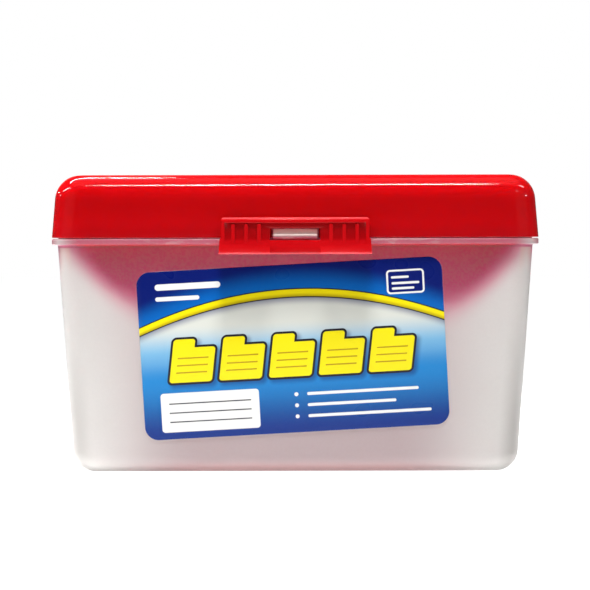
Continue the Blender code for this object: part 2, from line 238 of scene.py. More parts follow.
def closed_mesh(name, rings):
    """A closed body through rings of equal count, with a cap at each end."""
    shape = bmesh.new()
    loops = [[shape.verts.new(point) for point in ring] for ring in rings]
    for lower, upper in zip(loops, loops[1:]):
        for index in range(len(lower)):
            following = (index + 1) % len(lower)
            shape.faces.new((lower[index], lower[following], upper[following], upper[index]))
    shape.faces.new(list(reversed(loops[0])))
    shape.faces.new(loops[-1])
    bmesh.ops.recalc_face_normals(shape, faces=shape.faces)
    mesh = bpy.data.meshes.new(name)
    shape.to_mesh(mesh)
    shape.free()
    item = bpy.data.objects.new(name, mesh)
    bpy.context.scene.collection.objects.link(item)
    return item


def prism_along_x(name, outline, low, high):
    """Extrude an outline of (y, z) points between two x places."""
    rings = [[Vector((x, y, z)) for y, z in outline] for x in (low, high)]
    return closed_mesh(name, rings)


def prism_along_y(name, outline, low, high):
    """Extrude an outline of (x, z) points between two y places."""
    rings = [[Vector((x, y, z)) for x, z in outline] for y in (low, high)]
    return closed_mesh(name, rings)


def block(name, low, high):
    """A plain block between two corners."""
    outline = [(low[1], low[2]), (high[1], low[2]), (high[1], high[2]), (low[1], high[2])]
    return prism_along_x(name, outline, low[0], high[0])


def apply_modifiers(item):
    """Replace an object's mesh with what its modifiers make of it."""
    graph = bpy.context.evaluated_depsgraph_get()
    result = bpy.data.meshes.new_from_object(item.evaluated_get(graph))
    item.modifiers.clear()
    item.data = result


def combine(target, tool, operation):
    """Join, cut or trim the target by the tool, which is used up."""
    modifier = target.modifiers.new("combine", "BOOLEAN")
    modifier.operation = operation
    modifier.solver = "EXACT"
    modifier.object = tool
    apply_modifiers(target)
    bpy.data.objects.remove(tool)


def soften(item, width):
    """Round the sharp edges of a body."""
    modifier = item.modifiers.new("soften", "BEVEL")
    modifier.width = width
    modifier.segments = BEVEL_SEGMENTS
    modifier.limit_method = "ANGLE"
    modifier.angle_limit = BEVEL_ANGLE
    modifier.use_clamp_overlap = True
    modifier.miter_outer = "MITER_ARC"
    apply_modifiers(item)
    return item


def dress(item, name, material, body, node):
    """Name a finished piece, give it its material and let it stand for its node on its body."""
    item.name = name
    item.data.name = name
    item.data.materials.clear()
    item.data.materials.append(material)
    item.data.shade_smooth()
    item.data.set_sharp_from_angle(angle=SMOOTH_ANGLE)
    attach(item, body)
    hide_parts(node)


# Tray


def tray_inset(height):
    """How far the tray wall's outer face lies inside the rim's outline."""
    return RIM_OVERHANG + (RIM_TOP - height) * math.tan(TRAY_DRAFT)


def lid_inset(height):
    """How far the lid wall's outer face lies inside the rim's outline."""
    return (height - LID_BASE) * math.tan(LID_DRAFT)


def tray_profile():
    """Section of the tray from the middle of its foot, round the rim and the lip, to the floor inside."""
    under_rim = RIM_TOP - RIM_THICKNESS
    wall = TRAY_WALL / math.cos(TRAY_DRAFT)
    lip_inset = LID_WALL + LIP_CLEARANCE
    lip_inner = RIM_OVERHANG + TRAY_WALL
    lip_top = RIM_TOP + LIP_HEIGHT
    lean = LIP_HEIGHT * math.tan(LID_DRAFT)
    foot = tray_inset(0.0)
    floor = tray_inset(TRAY_FLOOR) + wall
    edge = RIM_ROUND * RIM_ROUND_FIT
    return round_off([
        (foot + TRAY_FILLET + FLAT_MARGIN, 0.0),
        (foot, 0.0, TRAY_FILLET, FILLET_STEPS),
        (tray_inset(under_rim), under_rim, UNDER_RIM_FILLET, EDGE_STEPS),
        (0.0, under_rim, edge, EDGE_STEPS),
        (0.0, RIM_TOP, edge, EDGE_STEPS),
        (lip_inset, RIM_TOP, LIP_ROUND / 2, EDGE_STEPS),
        (lip_inset + lean, lip_top, LIP_ROUND, EDGE_STEPS),
        (lip_inner, lip_top, LIP_ROUND, EDGE_STEPS),
        (lip_inner, RIM_TOP, LIP_ROUND, EDGE_STEPS),
        (floor, TRAY_FLOOR, TRAY_FILLET - TRAY_WALL, FILLET_STEPS),
        (floor + TRAY_FILLET + FLAT_MARGIN, TRAY_FLOOR),
    ])


def catch_block():
    """The snap catch: a ramp over an upright land over a flat ledge, joined to the locating lip."""
    root = FRONT + LID_WALL + LIP_CLEARANCE + LIP_ROUND + OVERRUN
    land_top = CATCH_LEDGE + CATCH_LAND
    outline = [
        (root, CATCH_LEDGE),
        (FRONT - CATCH_PROUD, CATCH_LEDGE),
        (FRONT - CATCH_PROUD, land_top),
        (FRONT - CATCH_TIP_PROUD, CATCH_TOP),
        (root, CATCH_TOP),
    ]
    return soften(prism_along_x("catch", outline, -CATCH_WIDTH / 2, CATCH_WIDTH / 2), CATCH_BEVEL)


def stop_points():
    """Ends of the sloping face on which the lid's back wall rests when it is fully open."""
    wall_distance = HINGE_SETBACK * math.cos(LID_DRAFT)
    wall_distance += (HINGE_AXIS.z - LID_BASE) * math.sin(LID_DRAFT)
    towards_wall = math.pi + LID_DRAFT - LID_OPEN
    along_wall = towards_wall - math.pi / 2
    reach = wall_distance - STOP_CLEARANCE
    near = (
        HINGE_AXIS.y + reach * math.cos(towards_wall),
        HINGE_AXIS.z + reach * math.sin(towards_wall),
    )
    far = (
        near[0] + STOP_LENGTH * math.cos(along_wall),
        near[1] + STOP_LENGTH * math.sin(along_wall),
    )
    return near, far, towards_wall


def ear_outline():
    """Side view of an ear: from the rim round the bar, along the stop face and down to the wall."""
    near, far, towards_wall = stop_points()
    root = REAR - RIM_OVERHANG
    left = math.pi - math.asin((RIM_TOP - HINGE_AXIS.z) / EAR_RADIUS)
    foot = RIM_TOP - EAR_DROP
    outline = [(root, RIM_TOP)]
    outline += arc((HINGE_AXIS.y, HINGE_AXIS.z), EAR_RADIUS, left, towards_wall, CURVE_STEPS)
    outline += [near, far, (far[0], far[1] - EAR_TAIL)]
    outline += [(REAR - tray_inset(foot) - TRAY_WALL / 2, foot)]
    return outline


def hinge_bar(low, high):
    """A moulded bar between two ears."""
    outline = arc((HINGE_AXIS.y, HINGE_AXIS.z), HINGE_BAR_RADIUS, 0.0, 2 * math.pi, ROUND_STEPS)
    return prism_along_x("bar", outline[:-1], low, high)


def make_tray(material):
    """The tray with its catch, hinge ears and hinge bars."""
    tray = shell("tray", tray_profile(), tray_inset, TRAY_CORNER)
    combine(tray, catch_block(), "UNION")
    for side in (-1, 1):
        station = side * HINGE_STATION
        inner = HOOK_WIDTH / 2 + HOOK_SIDE_PLAY
        for hand in (-1, 1):
            near = station + hand * inner
            far = near + hand * EAR_THICKNESS
            ear = prism_along_x("ear", ear_outline(), min(near, far), max(near, far))
            combine(tray, soften(ear, HINGE_BEVEL), "UNION")
        reach = inner + EAR_THICKNESS / 2
        combine(tray, hinge_bar(station - reach, station + reach), "UNION")
    dress(tray, "tray_moulding", material, "tray", "tray")


# Lid


def lid_profile():
    """Section of the lid from the middle of its roof, down the wall, round its edge and back inside."""
    top = lid_inset(LID_TOP)
    roof = LID_TOP - LID_ROOF
    inner = lid_inset(roof) + LID_WALL / math.cos(LID_DRAFT)
    return round_off([
        (top + LID_FILLET + FLAT_MARGIN, LID_TOP),
        (top, LID_TOP, LID_FILLET, FILLET_STEPS),
        (0.0, LID_BASE, LID_EDGE, EDGE_STEPS),
        (LID_WALL / math.cos(LID_DRAFT), LID_BASE, LID_EDGE, EDGE_STEPS),
        (inner, roof, LID_FILLET - LID_WALL, FILLET_STEPS),
        (inner + LID_FILLET + FLAT_MARGIN, roof),
    ])


def catch_notch():
    """The opening in the lid's front wall that lets the catch through."""
    half = CATCH_WIDTH / 2 + NOTCH_CLEARANCE
    low = (-half, FRONT - OVERRUN, LID_BASE - OVERRUN)
    high = (half, FRONT + 2 * LID_WALL, CATCH_TOP + NOTCH_CLEARANCE)
    return block("notch", low, high)


def film_root():
    """The strip on the lid's front wall that the latch's film hinge grows from."""
    half = LATCH_WIDTH / 2 - FILM_MARGIN
    back = FRONT + lid_inset(LATCH_AXIS.z) + LID_WALL / 2
    face = FRONT - LATCH_STANDOFF + LATCH_CLEARANCE
    low = (-half, face, LATCH_AXIS.z - FILM_THICKNESS / 2)
    high = (half, back, LATCH_AXIS.z + FILM_THICKNESS / 2)
    return block("film", low, high)


def hook_outline():
    """Side view of a hook: an arm from the lid's back wall, curled over the bar, its mouth below."""
    centre = (HINGE_AXIS.y, HINGE_AXIS.z)
    top = HINGE_AXIS.z + HOOK_RADIUS
    root = REAR - lid_inset(top) - LID_WALL / 2
    bore = arc(centre, HOOK_BORE, HOOK_END, HOOK_START, ROUND_STEPS)
    back = arc(centre, HOOK_RADIUS, HOOK_START, math.pi / 2, ROUND_STEPS // 2)
    shoulder = arc(centre, HOOK_RADIUS, HOOK_END, HOOK_END, 1)[0]
    return [(root, shoulder[1]), shoulder] + bore + back + [(root, top)]


def make_lid(material):
    """The lid with its hooks, its notch and the root of the film hinge."""
    lid = shell("lid", lid_profile(), lid_inset, RIM_CORNER)
    combine(lid, catch_notch(), "DIFFERENCE")
    combine(lid, film_root(), "UNION")
    for side in (-1, 1):
        station = side * HINGE_STATION
        hook = prism_along_x("hook", hook_outline(), station - HOOK_WIDTH / 2, station + HOOK_WIDTH / 2)
        combine(lid, soften(hook, HINGE_BEVEL), "UNION")
    dress(lid, "lid_moulding", material, "lid", "lid")


# Latch


def latch_side_view():
    """Side view of the latch: rolled top edge, recessed field and a thin foot that flares forward."""
    field = FRONT - LATCH_FACE + FIELD_DEPTH
    back = FRONT - LATCH_STANDOFF
    border_foot = LATCH_TOP - TOP_BORDER
    flare_top = LATCH_FOOT + FLARE_HEIGHT
    back_top = LATCH_FOOT + FLARE_BACK_HEIGHT
    back_reach = LATCH_THICKNESS + FLARE_REACH - FLARE_THICKNESS
    outline = arc((LATCH_AXIS.y, LATCH_AXIS.z), LATCH_BARREL, 0.0, math.pi, ROUND_STEPS // 2)
    outline += [(FRONT - LATCH_FACE, border_foot), (field, border_foot)]
    for step in range(CURVE_STEPS + 1):
        share = step / CURVE_STEPS
        outline.append((field - (FIELD_DEPTH + FLARE_REACH) * share**2, flare_top - FLARE_HEIGHT * share))
    for step in range(CURVE_STEPS + 1):
        share = 1 - step / CURVE_STEPS
        outline.append((back - back_reach * share**2, back_top - FLARE_BACK_HEIGHT * share))
    return outline


def latch_front_view():
    """Front view of the latch: rounded top corners, wider below the lid and widest at its foot."""
    top = LATCH_WIDTH / 2
    below = top + LATCH_SHOULDER
    right = [(below + LATCH_SPREAD, LATCH_FOOT), (below, LID_BASE - LATCH_SHOULDER), (top, LID_BASE)]
    right += arc((top - LATCH_CORNER, LATCH_TOP - LATCH_CORNER), LATCH_CORNER, 0.0, math.pi / 2, CURVE_STEPS)
    return right + [(-x, z) for x, z in reversed(right)]


def grip(place):
    """One upright finger rib, rounded at its top, which runs into the flare."""
    radius = GRIP_WIDTH / 2
    top = LATCH_TOP - GRIP_TOP - radius
    outline = arc((place, top), radius, 0.0, math.pi, CURVE_STEPS // 2)
    outline += [(place - radius, top - GRIP_LENGTH), (place + radius, top - GRIP_LENGTH)]
    return soften(prism_along_y("grip", outline, FRONT - LATCH_FACE, FRONT - LATCH_AXIS_PROUD), GRIP_BEVEL)


def make_latch(material):
    """The latch, with its window, the bar that hooks under the catch, borders and finger ribs."""
    wide = LATCH_WIDTH / 2 + LATCH_SHOULDER + LATCH_SPREAD
    half_window = WINDOW_WIDTH / 2
    face = FRONT - LATCH_FACE
    middle = FRONT - LATCH_AXIS_PROUD
    latch = prism_along_x("latch", latch_side_view(), -wide - OVERRUN, wide + OVERRUN)
    window_low = (-half_window, face - FLARE_REACH - OVERRUN, LATCH_FOOT - OVERRUN)
    window_high = (half_window, FRONT, BAR_TOP + WINDOW_HEIGHT)
    combine(latch, block("window", window_low, window_high), "DIFFERENCE")
    bar_low = (-half_window - OVERRUN, face - BAR_PROUD, LATCH_FOOT)
    bar_high = (half_window + OVERRUN, FRONT - LATCH_STANDOFF, BAR_TOP)
    combine(latch, block("bar", bar_low, bar_high), "UNION")
    for side in (-1, 1):
        outer = side * (wide + OVERRUN)
        inner = side * (LATCH_WIDTH / 2 - BORDER)
        border_low = (min(outer, inner), face, LATCH_FOOT + OVERRUN)
        border_high = (max(outer, inner), middle, LATCH_AXIS.z)
        combine(latch, block("border", border_low, border_high), "UNION")
        for index in range(GRIPS_PER_SIDE):
            place = (WINDOW_WIDTH + GRIP_WIDTH) / 2 + GRIP_FROM_WINDOW + index * GRIP_PITCH
            combine(latch, grip(side * place), "UNION")
    front_view = prism_along_y("trim", latch_front_view(), face - FLARE_REACH - OVERRUN, FRONT)
    combine(latch, front_view, "INTERSECT")
    soften(latch, LATCH_BEVEL)
    dress(latch, "latch_moulding", material, "latch", "latch")


# Label


def make_label(material):
    """The sticker, parallel to the drafted front wall and put on a little crooked."""
    rings = []
    edge = LABEL_THICKNESS / 4
    for inset, proud in (
        (0.0, LABEL_GAP),
        (0.0, LABEL_GAP + LABEL_THICKNESS - edge),
        (edge / 2, LABEL_GAP + LABEL_THICKNESS - edge / 4),
        (edge, LABEL_GAP + LABEL_THICKNESS),
    ):
        outline = rounded_rectangle(LABEL_WIDTH / 2 - inset, LABEL_HEIGHT / 2 - inset, LABEL_CORNER - inset)
        rings.append([Vector((x, -proud, z)) for x, z in outline])
    label = closed_mesh("label", rings)
    centre = Vector((LABEL_SIDEWAYS, FRONT + tray_inset(LABEL_CENTRE_HEIGHT), LABEL_CENTRE_HEIGHT))
    lean = Matrix.Rotation(TRAY_DRAFT, 4, "X") @ Matrix.Rotation(-LABEL_TILT, 4, "Y")
    label.matrix_world = Matrix.Translation(centre) @ lean
    dress(label, "label_print", material, "tray", "front_label")


# Node helpers

FIRST_COLOUR = 6
SECOND_COLOUR = 7
COLOUR_RESULT = 2


class Nodes:
    """Short calls that add shader nodes to one material and join them up."""

    def __init__(self, name):
        self.material = bpy.data.materials.new(name)
        self.material.use_nodes = True
        self.tree = self.material.node_tree
        self.shader = self.tree.nodes["Principled BSDF"]
        self.output = self.tree.nodes["Material Output"]
        self.place = self.add("ShaderNodeTexCoord").outputs["Object"]

    def add(self, kind, **settings):
        """Add a node with the given settings."""
        node = self.tree.nodes.new(kind)
        for key, value in settings.items():
            setattr(node, key, value)
        return node

    def feed(self, socket, value):
        """Link a socket to another one, or set its value."""
        if isinstance(value, bpy.types.NodeSocket):
            self.tree.links.new(value, socket)
        else:
            socket.default_value = value

    def math(self, operation, first, second=0.0):
        """The result of one operation on one or two numbers."""
        node = self.add("ShaderNodeMath", operation=operation)
        self.feed(node.inputs[0], first)
        self.feed(node.inputs[1], second)
        return node.outputs[0]

    def ramp(self, value, low, high, out_low=0.0, out_high=1.0):
        """A smooth step between two outputs, as the value goes from low to high, or down if low is larger."""
        node = self.add("ShaderNodeMapRange", interpolation_type="SMOOTHSTEP")
        for socket, item in zip(node.inputs, (value, low, high, out_low, out_high)):
            self.feed(socket, item)
        return node.outputs["Result"]

    def mix(self, share, first, second):
        """The first colour where the share is 0, and the second where it is 1."""
        node = self.add("ShaderNodeMix", data_type="RGBA")
        self.feed(node.inputs["Factor"], share)
        for index, colour in ((FIRST_COLOUR, first), (SECOND_COLOUR, second)):
            linked = isinstance(colour, bpy.types.NodeSocket)
            self.feed(node.inputs[index], colour if linked else (*colour, 1.0))
        return node.outputs[COLOUR_RESULT]

    def axes(self):
        """The object's x, y and z, one socket each."""
        node = self.add("ShaderNodeSeparateXYZ")
        self.feed(node.inputs[0], self.place)
        return node.outputs[:3]

    def away(self):
        """Distance from the object's origin."""
        node = self.add("ShaderNodeVectorMath", operation="LENGTH")
        self.feed(node.inputs[0], self.place)
        return node.outputs["Value"]

    def noise(self, size, detail, stretch=(1.0, 1.0, 1.0)):
        """Noise whose lumps are about as large as size, in metres, stretched along the axes."""
        mapping = self.add("ShaderNodeMapping")
        mapping.inputs["Scale"].default_value = [1 / share for share in stretch]
        self.feed(mapping.inputs["Vector"], self.place)
        node = self.add("ShaderNodeTexNoise")
        self.feed(node.inputs["Vector"], mapping.outputs["Vector"])
        node.inputs["Scale"].default_value = 1 / size
        node.inputs["Detail"].default_value = detail
        return node.outputs["Fac"]

    def bump(self, height, distance, strength, normal=None):
        """A surface direction disturbed by a height, on top of another if one is given."""
        node = self.add("ShaderNodeBump")
        node.inputs["Strength"].default_value = strength
        node.inputs["Distance"].default_value = distance
        self.feed(node.inputs["Height"], height)
        if normal is not None:
            self.feed(node.inputs["Normal"], normal)
        return node.outputs["Normal"]

    def set(self, **values):
        """Set the shader's inputs by name, with underscores for spaces."""
        for key, value in values.items():
            self.feed(self.shader.inputs[key.replace("_", " ")], value)


PLASTIC_IOR = 1.49
NOISE_BAND = (0.3, 0.7)

# Colours of the tray, with painted glow, painted shade and painted highlights among them

MILK = (0.95, 0.93, 0.90)
LIGHT_MILK = (0.97, 0.95, 0.92)
# painted shade: a darker milk down the tray's corners
CORNER_PAINTED_SHADE = (0.70, 0.68, 0.65)
# painted glow of the lid's red light on the tray walls, with painted shade lower down and along the foot
SOFT_GLOW_PINK = (0.79, 0.64, 0.65)
LOW_GLOW_SHADE = (0.66, 0.53, 0.54)
FOOT_GLOW_SHADE = (0.76, 0.50, 0.50)
# painted glow: the lid's red light drawn onto the tray's upper walls, paler on the inner faces
RED_GLOW_PINK = (0.87, 0.48, 0.56)
RED_GLOW_MAUVE = (0.95, 0.06, 0.34)
INNER_RED_GLOW = (0.94, 0.78, 0.56)
# painted shade just under the flange
UNDER_FLANGE_SHADE = (0.72, 0.16, 0.30)
# painted red glow of the lid's light on the flange, and painted pale highlights over it
FLANGE_RED_GLOW = (0.74, 0.19, 0.28)
FLANGE_HIGHLIGHT = (0.88, 0.60, 0.60)
# painted light: the catch's upward sloping face made paler, as if lit from above
CATCH_SLOPE_LIGHT = (1.0, 0.85, 0.78)
# painted shade: a darker line along the catch's edge that dims its highlight
CATCH_SHADE_LINE = (0.50, 0.34, 0.33)
SPECKLE = (0.75, 0.70, 0.70)

# Where the tray's colours begin and are full: a distance from the wall's upright edge, down from
# the rim or into the wall, or a share of the zone of painted red glow

RED_GLOW_SLOPE = 0.85
RED_GLOW_SIDE = (-5 * MM, 13 * MM)
RED_GLOW_FOOT = (34 * MM, 8 * MM)
CLOUD_FADE = (0.35, 0.65)
LOW_FADE = (20 * MM, 62 * MM)
CORNER_SHADE_FADE = (9 * MM, 3 * MM)
SOFT_GLOW_SIDE = (8 * MM, 45 * MM)
FOOT_GLOW_FADE = (RIM_TOP - 4 * MM, RIM_TOP - 1 * MM)
FOOT_GLOW_SIDE = (15 * MM, 50 * MM)
PINK_SHARE = (0.0, 0.5)
MAUVE_SHARE = (0.3, 0.9)
INNER_FADE = (0.4 * MM, 1.0 * MM)
UNDER_FLANGE_SHADE_FADE = (3.0 * MM, 2.4 * MM)
FLANGE_FADE = (1.9 * MM, 1.6 * MM)
FLANGE_GLOW_SIDE = (0.5 * MM, 9 * MM)
HIGHLIGHT_FADE = (0.52, 0.60)
HIGHLIGHT_SIDE = (18 * MM, 40 * MM)
HIGHLIGHT_MOST = 0.5
CATCH_SIDE = (7.1 * MM, 6.9 * MM)
CATCH_BACK = (FRONT + 2.0 * MM, FRONT + 1.5 * MM)
SLOPE_FADE = (-0.6 * MM, -1.0 * MM)
LINE_ABOVE_RIM = 0.8 * MM
LINE_FADE = (0.35 * MM, 0.1 * MM)
SPECKLE_MOST = 0.08

# Texture and clearness of the tray

GRAIN = (0.35 * MM, 2.0)
GRAIN_DEPTH = 0.02 * MM
GRAIN_STRENGTH = 0.5
SPECKLES = (0.8 * MM, 1.0)
CLOUDS = (18 * MM, 3.0)
FLOW = (9 * MM, 4.0, (1.0, 1.0, 4.0))
# noise for the painted pale highlights on the flange
HIGHLIGHT_PATCHES = (2.6 * MM, 3.0, (2.0, 2.0, 0.6))
TRAY_ROUGHNESS = (0.28, 0.33)
CATCH_ROUGHNESS = 0.8
CLEAR_SHARE = (0.25, 1.0)
WALL_CLEARNESS = 0.45
FLANGE_CLEARNESS = 0.5


def wall_places(m):
    """Distances from the nearest upright edge along the wall, down from the rim, and into the wall."""
    x, y, z = m.axes()
    from_side = m.math("SUBTRACT", RIM_WIDTH / 2, m.math("ABSOLUTE", x))
    from_face = m.math("SUBTRACT", RIM_DEPTH / 2, m.math("ABSOLUTE", m.math("SUBTRACT", y, CENTRE_Y)))
    below = m.math("SUBTRACT", RIM_TOP, z)
    outer_face = m.math("ADD", RIM_OVERHANG, m.math("MULTIPLY", below, math.tan(TRAY_DRAFT)))
    within = m.math("SUBTRACT", m.math("MINIMUM", from_side, from_face), outer_face)
    return m.math("MAXIMUM", from_side, from_face), below, within


def painted_red_glow(m, along, below):
    """1 where the red lid's light is painted onto the wall as a glow, fading downwards and to the upright
    edges.
    """
    slant = m.math("SUBTRACT", along, m.math("MULTIPLY", below, RED_GLOW_SLOPE))
    return m.math("MULTIPLY", m.ramp(slant, *RED_GLOW_SIDE), m.ramp(below, *RED_GLOW_FOOT))


def milk_colour(m, along, below, low):
    """Clouded milky white, with painted shade that darkens it down the corners."""
    milk = m.mix(m.ramp(m.noise(*CLOUDS), *CLOUD_FADE), MILK, LIGHT_MILK)
    # painted shade down the corners, lower on the wall
    from_corner = m.math("SUBTRACT", along, m.math("MULTIPLY", below, math.tan(TRAY_DRAFT)))
    corner = m.math("MULTIPLY", low, m.ramp(from_corner, *CORNER_SHADE_FADE))
    return m.mix(corner, milk, CORNER_PAINTED_SHADE)


def wall_colour(m, along, below, within, low, red, milk):
    """Milk with a painted pink glow of the lid's light away from the corners, darker lower down, a painted
    pinkish shade along the foot, a painted pink and mauve glow in the red zone that is paler on the inner
    faces, and painted shade under the flange.
    """
    # painted pink glow away from the corners, darker lower down, and a painted pinkish shade along the foot
    colour = m.mix(m.ramp(along, *SOFT_GLOW_SIDE), milk, m.mix(low, SOFT_GLOW_PINK, LOW_GLOW_SHADE))
    foot = m.math("MULTIPLY", m.ramp(below, *FOOT_GLOW_FADE), m.ramp(along, *FOOT_GLOW_SIDE))
    colour = m.mix(foot, colour, FOOT_GLOW_SHADE)
    # painted red glow of the lid in pink, then mauve, paler on the inner faces
    colour = m.mix(m.ramp(red, *PINK_SHARE), colour, RED_GLOW_PINK)
    colour = m.mix(m.ramp(red, *MAUVE_SHARE), colour, RED_GLOW_MAUVE)
    colour = m.mix(m.math("MULTIPLY", red, m.ramp(within, *INNER_FADE)), colour, INNER_RED_GLOW)
    # painted shade in a darker band just under the flange
    return m.mix(m.ramp(below, *UNDER_FLANGE_SHADE_FADE), colour, UNDER_FLANGE_SHADE)


def flange_colour(m, along, milk):
    """A painted red glow of the lid's light between the milky corners, with painted pale highlights towards
    the middle.
    """
    highlight_patch = m.ramp(m.noise(*HIGHLIGHT_PATCHES), *HIGHLIGHT_FADE)
    # painted red glow on the flange, then painted pale highlights towards the middle
    flange_glow = m.mix(m.ramp(along, *FLANGE_GLOW_SIDE), milk, FLANGE_RED_GLOW)
    share = m.math("MULTIPLY", highlight_patch, m.ramp(along, *HIGHLIGHT_SIDE, 0.0, HIGHLIGHT_MOST))
    return m.mix(share, flange_glow, FLANGE_HIGHLIGHT)


def catch_places(m, below):
    """1 on the whole catch, and 1 on its sloping face alone."""
    x, y, z = m.axes()
    catch = m.ramp(m.math("ABSOLUTE", x), *CATCH_SIDE)
    catch = m.math("MULTIPLY", catch, m.ramp(y, *CATCH_BACK))
    return catch, m.math("MULTIPLY", catch, m.ramp(below, *SLOPE_FADE))


def frosted_plastic():
    """Milky polypropylene, clearer along the top, with a fine matt texture. Its colour carries painted light:
    a red glow from the lid along the top, shade down the corners and under the flange, and highlights on the
    flange and the catch.
    """
    m = Nodes("frosted plastic")
    along, below, within = wall_places(m)
    low = m.ramp(below, *LOW_FADE)
    red = painted_red_glow(m, along, below)
    milk = milk_colour(m, along, below, low)
    wall = wall_colour(m, along, below, within, low, red, milk)
    colour = m.mix(m.ramp(below, *FLANGE_FADE), wall, flange_colour(m, along, milk))
    catch, slope = catch_places(m, below)
    # painted light on the catch's sloping face
    colour = m.mix(slope, colour, CATCH_SLOPE_LIGHT)
    # painted shade line along the edge of the catch's land
    line = m.ramp(m.math("ABSOLUTE", m.math("ADD", below, LINE_ABOVE_RIM)), *LINE_FADE)
    colour = m.mix(m.math("MULTIPLY", catch, line), colour, CATCH_SHADE_LINE)
    clear = m.ramp(red, *CLEAR_SHARE, WALL_CLEARNESS, 1.0)
    clear = m.math("MINIMUM", clear, m.ramp(below, *FLANGE_FADE, 1.0, FLANGE_CLEARNESS))
    clear = m.math("MINIMUM", clear, m.ramp(slope, 0.0, 1.0, 1.0, 0.0))
    frost = m.ramp(m.noise(*FLOW), *NOISE_BAND, *TRAY_ROUGHNESS)
    m.set(
        Base_Color=m.mix(m.ramp(m.noise(*SPECKLES), *NOISE_BAND, 0.0, SPECKLE_MOST), colour, SPECKLE),
        Roughness=m.math("MAXIMUM", frost, m.ramp(catch, 0.0, 1.0, 0.0, CATCH_ROUGHNESS)),
        Normal=m.bump(m.noise(*GRAIN), GRAIN_DEPTH, GRAIN_STRENGTH),
        IOR=PLASTIC_IOR,
        Transmission_Weight=clear,
    )
    return m.material


# Reds of the lid and the latch, with their painted shade and highlights, and where they begin and are full

LID_REDS = ((0.90, 0.0015, 0.004), (0.94, 0.002, 0.005))
# painted shade on the lid's walls, and painted light near its foot
LID_WALL_SHADE = (0.58, 0.0012, 0.0035)
LID_WALL_SHADE_FADE = (LID_TOP - 3 * MM, LID_TOP - 8 * MM)
LID_FOOT_LIGHT = (0.78, 0.002, 0.006)
LID_FOOT_LIGHT_FADE = (LID_BASE + 10 * MM, LID_BASE)
LATCH_REDS = ((0.54, 0.002, 0.005), (0.58, 0.003, 0.006))
# painted shade in the latch's recessed field
FIELD_SHADE = (0.38, 0.001, 0.003)
FIELD_Y = FRONT - LATCH_FACE + FIELD_DEPTH
FIELD_BEFORE = (FIELD_Y - 0.4 * MM, FIELD_Y - 0.1 * MM)
FIELD_BEHIND = (FIELD_Y + 0.3 * MM, FIELD_Y + 0.1 * MM)
# painted highlights along the latch's top edge and foot
TOP_HIGHLIGHT = (0.80, 0.07, 0.08)
TOP_HIGHLIGHT_FADE = (LATCH_TOP - 0.6 * MM, LATCH_TOP - 0.2 * MM)
FOOT_HIGHLIGHT = (0.85, 0.10, 0.12)
FOOT_HIGHLIGHT_FADE = (LATCH_FOOT + 0.6 * MM, LATCH_FOOT + 0.2 * MM)

# Gloss of the reds, and how far light bleeds through them, in millimetres for each colour

LID_ROUGHNESS = (0.045, 0.06)
LID_SPECULAR = 0.5
LID_BLEED = 1.0
LID_BLEED_RADIUS = (14.0, 1.0, 1.0)
LATCH_ROUGHNESS = (0.20, 0.24)
LATCH_SPECULAR = 0.35
LATCH_BLEED = 0.3
LATCH_BLEED_RADIUS = (2.0, 0.3, 0.3)
SWELL = (22 * MM, 1.0)
SWELL_DEPTH = 0.12 * MM
SWELL_STRENGTH = 0.01
HAZE = (24 * MM, 2.0)
SCRATCHES = (1.2 * MM, 2.0, (14.0, 14.0, 1.0))
SCRATCH_DEPTH = 0.01 * MM
SCRATCH_STRENGTH = 0.02


def lid_painted_shading(m, paint):
    """Painted shade: deeper red in the lid's walls than on its roof; and painted light: brighter again near
    the foot, where the pale tray's light comes through below.
    """
    z = m.axes()[2]
    # painted shade on the walls, then painted light near the foot
    paint = m.mix(m.ramp(z, *LID_WALL_SHADE_FADE), paint, LID_WALL_SHADE)
    return m.mix(m.ramp(z, *LID_FOOT_LIGHT_FADE), paint, LID_FOOT_LIGHT)


def latch_painted_shading(m, paint):
    """Painted shade: deeper red in the latch's thinner, recessed field; and painted highlights: pale lines
    along its top edge and foot.
    """
    x, y, z = m.axes()
    # painted shade in the recessed field
    recess_shade = m.math("MULTIPLY", m.ramp(y, *FIELD_BEFORE), m.ramp(y, *FIELD_BEHIND))
    paint = m.mix(recess_shade, paint, FIELD_SHADE)
    # painted highlights along the top edge and the foot
    paint = m.mix(m.ramp(z, *TOP_HIGHLIGHT_FADE), paint, TOP_HIGHLIGHT)
    return m.mix(m.ramp(z, *FOOT_HIGHLIGHT_FADE), paint, FOOT_HIGHLIGHT)


def red_plastic(name, reds, painted_shading, roughness, specular, bleed, bleed_radius):
    """Red polypropylene: barely uneven, with hairline scratches that show in its gloss, and the painted shade
    and highlights of the shading it is given.
    """
    m = Nodes(name)
    swell = m.noise(*SWELL)
    scratches = m.noise(*SCRATCHES)
    m.set(
        Base_Color=painted_shading(m, m.mix(m.ramp(swell, *NOISE_BAND), *reds)),
        Roughness=m.ramp(m.noise(*HAZE), *NOISE_BAND, *roughness),
        Specular_IOR_Level=specular,
        Normal=m.bump(scratches, SCRATCH_DEPTH, SCRATCH_STRENGTH, m.bump(swell, SWELL_DEPTH, SWELL_STRENGTH)),
        IOR=PLASTIC_IOR,
        Subsurface_Weight=bleed,
        Subsurface_Radius=bleed_radius,
        Subsurface_Scale=MM,
    )
    return m.material


# The label's print, in millimetres from its middle. Shapes are rounded rectangles, each given by
# its centre, size and corner radius

